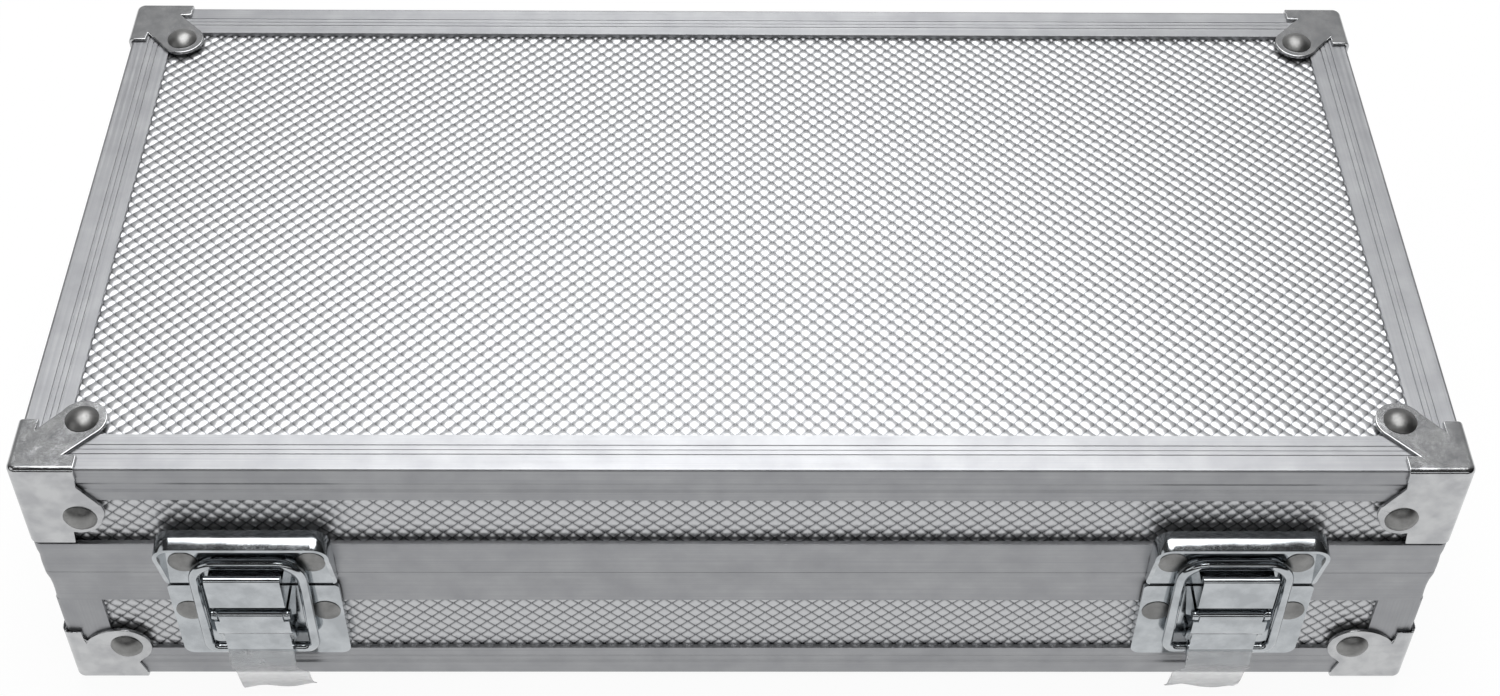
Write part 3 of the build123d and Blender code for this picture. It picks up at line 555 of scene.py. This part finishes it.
for corner in corners:
    tail = "".join(word.capitalize() for word in corner.split("_"))
    for half in ("lid", "base"):
        roundedCopy(half + "_guard_" + corner, half + "Guard" + tail, half, "guard_steel",
                    guard["folded"], guard["segments"], shape=foldedEdges)


shoulder = {
    "drop": 1.4 * mm,          # fall of the catch plate's top wall from its root to its front
    "above": 46.5 * mm,        # height from which the fall grows to its full size
    "curve": 1.8,              # power with which the fall grows outwards
    "cuts": (1.5, 2.1, 2.7, 3.3),   # millimetres out from the root
    "crest": 0.05 * mm,        # points this close to the greatest height are the top's
    "wall": 4 * mm,            # the cuts cross only faces that come this close to it
    "facing": 0.9,             # and that don't look along y by more than this
    "weld": 0.001 * mm,
}


def slopedShoulder(solid):
    # The wall's top falls by drop * (out / reach)^curve, times its height's share of the way up.
    places = np.array([vert.co for vert in solid.verts])
    root, crest = places[:, 1].max(), places[:, 2].max()
    reach = root - places[places[:, 2] > crest - shoulder["crest"], 1].min()
    for out in shoulder["cuts"]:
        upper = [face for face in solid.faces
                 if max(vert.co.z for vert in face.verts) > crest - shoulder["wall"]
                 and abs(face.normal.y) < shoulder["facing"]]
        edges = [edge for face in upper for edge in face.edges]
        verts = [vert for face in upper for vert in face.verts]
        bmesh.ops.bisect_plane(solid, geom=list(dict.fromkeys(upper + edges + verts)),
                               dist=shoulder["weld"], plane_co=(0, root - out * mm, 0),
                               plane_no=(0, 1, 0))
    places = np.array([vert.co for vert in solid.verts])
    out = np.clip((root - places[:, 1]) / reach, 0, 1)
    up = np.clip((places[:, 2] - shoulder["above"]) / (crest - shoulder["above"]), 0, 1)
    falls = shoulder["drop"] * out ** shoulder["curve"] * up
    for vert, fall in zip(solid.verts, falls.tolist()):
        vert.co.z -= fall
    return False


for side in sides:
    tail = side.capitalize()
    roundedCopy("catch_plate_" + side, "catchPlate" + tail, "lid", "latch_chrome",
                shape=slopedShoulder, **pressed["catchPlate"])
    roundedCopy("latch_plate_" + side, "latchPlate" + tail, "base", "latch_chrome",
                **pressed["latchPlate"])
    roundedCopy("latch_lever_" + side, "latchLever" + tail, "lever_" + side, "latch_chrome",
                **pressed["latchLever"])
print("pressed pieces rounded")


# parting rims: one drawn section each, swept round the case
rims = {
    # distance out from the edging's face and height, in millimetres
    "baseFace": [
        (-1.0, 28.3), (0.04, 28.3), (0.15, 28.42), (0.14, 28.8), (0.03, 31.4), (0.05, 33.2),
        (0.22, 35.2), (0.5, 36.6), (0.61, 37.3), (0.62, 38.42), (0.59, 38.46)],
    "baseInside": [
        (-2.6, 38.46), (-2.6, 40.9), (-3.8, 40.9), (-3.8, 38.4), (-5.4, 38.4), (-5.4, 28.3),
        (-4.4, 28.3), (-4.4, 34.3), (-1.0, 34.3)],
    "lidFace": [
        (-1.0, 46.6), (-0.3, 46.6), (-0.3, 47.9), (0.5, 47.9), (0.7, 47.84), (0.8, 47.6),
        (0.79, 46.4), (0.74, 45.0), (0.6, 44.0), (0.54, 43.2), (0.6, 42.3), (0.67, 41.2),
        (0.66, 39.4), (0.62, 38.54), (0.59, 38.5)],
    "lidInside": [
        (-2.2, 38.6), (-2.2, 41.5), (-4.3, 41.5), (-4.3, 38.6), (-5.4, 38.6), (-5.4, 47.9),
        (-4.4, 47.9), (-4.4, 43.3), (-1.0, 43.3)],
    "cornerRound": 1.2 * mm,
    "cornerSteps": 6,
    "weld": 0.001 * mm,
    "sharp": 32,               # degrees of turn from which an edge stays sharp
}


def sweptRim(nodeName, newName, body, section):
    # The section runs round a rectangle. At a corner the point that stands "out" from the
    # edging's face turns on an arc of radius cornerRound + out, or on a mitre where that is less
    # than nothing.
    low, high = nodeBox("base_front_edging")
    left, right, front = low[0], high[0], low[1]
    back = nodeBox("base_back_edging")[1][1]
    section = np.array(section) * mm
    turn = np.linspace(0, math.pi / 2, rims["cornerSteps"] + 1)
    corner = rims["cornerRound"]
    radius = np.maximum(section[:, 0] + corner, 0.0)
    shift = np.minimum(section[:, 0] + corner, 0.0)
    places = ((right, back, -1, -1), (left, back, 1, -1), (left, front, 1, 1),
              (right, front, -1, 1))
    rows = []
    for quarter, (edgeX, edgeY, inX, inY) in enumerate(places):
        angles = (turn + quarter * math.pi / 2)[:, None]
        x = edgeX + inX * corner - inX * shift + radius * np.cos(angles)
        y = edgeY + inY * corner - inY * shift + radius * np.sin(angles)
        z = np.broadcast_to(section[:, 1], x.shape)
        rows.append(np.stack([x, y, z], axis=-1))
    points = np.concatenate(rows)
    steps, around = points.shape[:2]
    first = np.arange(steps)[:, None] * around + np.arange(around)
    after = np.roll(first, -1, axis=0)
    quads = np.stack([first, after, np.roll(after, -1, axis=1), np.roll(first, -1, axis=1)],
                     axis=-1).reshape(-1, 4)
    piece = meshObject(newName, points.reshape(-1, 3), quads.tolist(), body, "rim_aluminium",
                       aluminiumAlong["x"])
    solid = bmesh.new()
    solid.from_mesh(piece.data)
    bmesh.ops.remove_doubles(solid, verts=solid.verts, dist=rims["weld"])
    bmesh.ops.recalc_face_normals(solid, faces=solid.faces)
    solid.to_mesh(piece.data)
    solid.free()
    piece.data.set_sharp_from_angle(angle=math.radians(rims["sharp"]))
    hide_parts(nodeName)


sweptRim("base_rim", "baseRim", "base", rims["baseFace"] + rims["baseInside"])
sweptRim("lid_rim", "lidRim", "lid", rims["lidFace"] + rims["lidInside"])
print("rims swept")


# foam insert and lid lining
tray = roundedCopy("chip_tray", "chipTray", "base", "flocked_tray", **pressed["chipTray"])

lining = {
    "cells": (140, 72),        # along and across the lid
    "edgeRound": 7 * mm,       # distance over which the pad falls to its glued edge
    "edgeThick": 0.12,         # share of the thickness that the glued edge keeps
    "quilt": 0.25 * mm,        # slow rise and fall of the foam
    "waves": (52, 67),         # radians per metre: swells 121 mm long and 94 mm across
}


def liningPad():
    # Flat back against the lid; the face stands t = 1 - (1 - d/r)^3 of its thickness off it,
    # d being the distance to the nearest edge, less a slow sine ripple.
    low, high = nodeBox("lid_lining")
    nu, nv = lining["cells"]
    # cells crowd towards the edges: a cosine spacing along both directions
    u = 0.5 - 0.5 * np.cos(np.linspace(0, math.pi, nu + 1))
    v = 0.5 - 0.5 * np.cos(np.linspace(0, math.pi, nv + 1))
    x, y = np.meshgrid(low[0] + (high[0] - low[0]) * u, low[1] + (high[1] - low[1]) * v,
                       indexing="ij")
    inwards = np.minimum(np.minimum(x - low[0], high[0] - x), np.minimum(y - low[1], high[1] - y))
    share = np.clip(inwards / lining["edgeRound"], 0, 1)
    edge = lining["edgeThick"]
    swell = edge + (1 - edge) * (1 - (1 - share) ** 3)
    waveX, waveY = lining["waves"]
    ripple = lining["quilt"] * (1 + np.sin(x * waveX) * np.sin(y * waveY)) * share
    thick = (high[2] - low[2]) * swell - ripple
    face = np.stack([x, y, high[2] - thick], axis=-1).reshape(-1, 3)
    back = np.stack([x, y, np.full_like(x, high[2])], axis=-1).reshape(-1, 3)
    return closedSheet(back, face, nu + 1, nv + 1)


pad = meshObject("lidLining", *liningPad(), "lid", "lining_felt", felt)
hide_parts("lid_lining")
print("foam insert and lining made")


# protective film on the lever tails
tab = {
    "thick": 0.14 * mm,
    "cells": (28, 60),         # across and down
    "half": 7.7 * mm,          # half its width where it hangs free
    "held": 0.9,               # share of that width where it clings to the lever
    "aside": 1.7 * mm,         # the free end has slipped towards the middle of the case
    "loosens": 5,              # it widens and slips over one part in this many of its free length
    "ripple": 0.22 * mm,       # crinkles across the free end
    "crinkles": (4.4, 7.0),    # radians of a crinkle from the middle to a side and from top to end
    "gusts": 9.0,              # radians of their rise and fall from top to end
    "tilt": 0.5 * mm,          # rise of one corner of the free end and fall of the other
    # distance out from the edging's face and height along the middle line, in millimetres
    "path": [(6.37, 18.9), (6.37, 17.0), (7.0, 14.15), (6.9, 11.6), (6.3, 8.6), (5.4, 5.8),
             (4.4, 3.6), (3.6, 2.4)],
    "clings": 2,               # the point of the path down to which it clings to the lever
}


def filmTab(nodeName, newName, body, inwards):
    # The tab follows the lever, then hangs free below it: points on the path at equal lengths,
    # moved out by crinkles that grow towards the free end. It widens and slips aside by the
    # smooth step s^2 (3 - 2s), s growing from the place where it comes free.
    low, high = nodeBox(nodeName)
    face = nodeBox("base_front_edging")[0][1]
    route = np.array(tab["path"]) * mm
    lengths = np.linalg.norm(np.diff(route, axis=0), axis=1)
    travelled = np.concatenate([[0], np.cumsum(lengths)])
    nu, nv = tab["cells"]
    across, down = np.meshgrid(np.linspace(-1, 1, nu + 1), np.linspace(0, 1, nv + 1),
                               indexing="ij")
    out = np.interp(down * travelled[-1], travelled, route[:, 0])
    z = np.interp(down * travelled[-1], travelled, route[:, 1])
    stuck = travelled[tab["clings"]] / travelled[-1]
    free = np.clip((down - stuck) / (1 - stuck), 0, 1)
    slip = np.clip(free * tab["loosens"], 0, 1)
    slip = slip * slip * (3 - 2 * slip)
    width = tab["half"] * (tab["held"] + (1 - tab["held"]) * slip)
    x = (low[0] + high[0]) / 2 + width * across + inwards * tab["aside"] * slip
    sideways, downwards = tab["crinkles"]
    crinkle = np.sin(sideways * across + downwards * down) * (1 + np.sin(tab["gusts"] * down))
    out = out + tab["ripple"] * free * crinkle
    z = z + tab["tilt"] * free * across * inwards
    inner = np.stack([x, face - out, z], axis=-1).reshape(-1, 3)
    outer = inner - [0, tab["thick"], 0]
    points, faces = closedSheet(outer, inner, nu + 1, nv + 1)
    piece = meshObject(newName, points, faces[:, ::-1], body, "protective_film", film)
    markPoints(piece, "free", np.tile(free.ravel(), 2))
    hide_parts(nodeName)


for side, inwards in (("left", 1), ("right", -1)):
    filmTab("lever_film_" + side, "leverFilm" + side.capitalize(), "lever_" + side, inwards)
print("film tabs made")


# stage, light and camera
sweep = {
    "reach": 4.0,              # metres from the case to each side
    "colour": "#f2f2f2",
    "glow": 0.94,              # how white the camera and the reflections see it, white being 1
}


def whitePaper():
    # White paper sweep: it looks white where it is lit and keeps the case's soft shadow.
    made, tree, shader = newMaterial("whitePaper", {
        "Base Color": linear(sweep["colour"]), "Roughness": 0.9})
    path = addNode(tree, "ShaderNodeLightPath").outputs
    direct = addNode(tree, "ShaderNodeMath", {
        0: path["Is Camera Ray"], 1: path["Is Glossy Ray"]}, operation="ADD")
    seen = addNode(tree, "ShaderNodeMath", {
        0: direct.outputs[0], 1: path["Is Transmission Ray"]}, operation="ADD", use_clamp=True)
    share = addNode(tree, "ShaderNodeMath", {
        0: seen.outputs[0], 1: sweep["glow"]}, operation="MULTIPLY")
    glow = addNode(tree, "ShaderNodeEmission", {"Color": (1, 1, 1, 1), "Strength": 1.0})
    mixed = addNode(tree, "ShaderNodeMixShader", {
        0: share.outputs[0], 1: shader.outputs[0], 2: glow.outputs[0]})
    fill(tree.nodes["Material Output"], {"Surface": mixed.outputs[0]})
    return made


reach = sweep["reach"]
floor = meshObject(
    "floor", [(-reach, -reach, 0), (reach, -reach, 0), (reach, reach, 0), (-reach, reach, 0)],
    [(0, 1, 2, 3)], None, None, whitePaper(), smooth=False)

lamps = {
    # place and aim in metres, size in metres, brightness of its face (white is 1)
    "softboxAbove": {"place": (0.0, 0.42, 1.25), "aim": (0, 0.42, 0), "size": (1.06, 2.0),
                     "brightness": 4.2},
    "stripFront": {"place": (0.0, -1.35, 0.75), "aim": (0, 0, 0.05), "size": (2.2, 0.28),
                   "brightness": 1.4},
    "fillLeft": {"place": (-1.1, -0.5, 0.7), "aim": (0, 0, 0.03), "size": (0.8, 0.8),
                 "brightness": 0.9},
}
for name, lamp in lamps.items():
    data = bpy.data.lights.new(name, "AREA")
    data.shape = "ELLIPSE"
    data.size, data.size_y = lamp["size"]
    face = math.pi / 4 * data.size * data.size_y
    data.energy = lamp["brightness"] * math.pi * face    # white gives pi watts a square metre
    place, aim = Vector(lamp["place"]), Vector(lamp["aim"])
    lampObject = newObject(name, data)
    lampObject.location = place
    lampObject.rotation_euler = (aim - place).to_track_quat("-Z", "Y").to_euler()

room = {
    # the room seen in the metal: dim in front, a mid grey wall behind, slightly paler overhead;
    # a direction goes from 0, level with the case, to 1, straight back or straight up
    "wall": {"From Min": 0.1, "From Max": 0.7, "To Min": 0.02, "To Max": 0.44},
    "ceiling": {"From Min": 0.55, "From Max": 0.95, "To Min": 0.0, "To Max": 0.04},
}
world = bpy.data.worlds.new("studio")
world.use_nodes = True
bpy.context.scene.world = world
sky = world.node_tree
towards = addNode(sky, "ShaderNodeTexCoord").outputs["Generated"]
around = addNode(sky, "ShaderNodeSeparateXYZ", {0: towards}).outputs
wall = addNode(sky, "ShaderNodeMapRange", {"Value": around["Y"], **room["wall"]})
ceiling = addNode(sky, "ShaderNodeMapRange", {"Value": around["Z"], **room["ceiling"]})
level = addNode(sky, "ShaderNodeMath", {0: wall.outputs[0], 1: ceiling.outputs[0]},
                operation="ADD")
seenInMetal = sky.nodes["Background"]
fill(seenInMetal, {"Color": (1, 1, 1, 1), "Strength": level.outputs[0]})
white = addNode(sky, "ShaderNodeBackground", {"Color": (1, 1, 1, 1), "Strength": 1.0})
direct = addNode(sky, "ShaderNodeLightPath").outputs["Is Camera Ray"]
backdrop = addNode(sky, "ShaderNodeMixShader", {
    0: direct, 1: seenInMetal.outputs[0], 2: white.outputs[0]})
fill(sky.nodes["World Output"], {"Surface": backdrop.outputs[0]})

camera = {
    "place": (-4.2, -358.0, 408.5),    # millimetres
    "down": 46.695,                    # degrees
    "yaw": -1.016,
    "roll": 0.855,
    "lens": 53.83,                     # millimetres, as is the sensor
    "sensor": 36.0,
}
down, yaw, roll = (math.radians(camera[k]) for k in ("down", "yaw", "roll"))
right = Vector((1, 0, 0))
ahead = Vector((0, math.cos(down), -math.sin(down)))
above = Vector((0, math.sin(down), math.cos(down)))
rolledRight = math.cos(roll) * right + math.sin(roll) * above
rolledUp = -math.sin(roll) * right + math.cos(roll) * above
turned = Matrix.Rotation(yaw, 3, "Z") @ Matrix((rolledRight, rolledUp, -ahead)).transposed()
view = bpy.data.cameras.new("camera")
view.lens = camera["lens"]
view.sensor_width = camera["sensor"]
cameraObject = newObject("camera", view)
cameraObject.matrix_world = Matrix.Translation(Vector(camera["place"]) * mm) @ turned.to_4x4()
bpy.context.scene.camera = cameraObject
bpy.context.scene.view_settings.view_transform = "Standard"
print("stage, light and camera set")
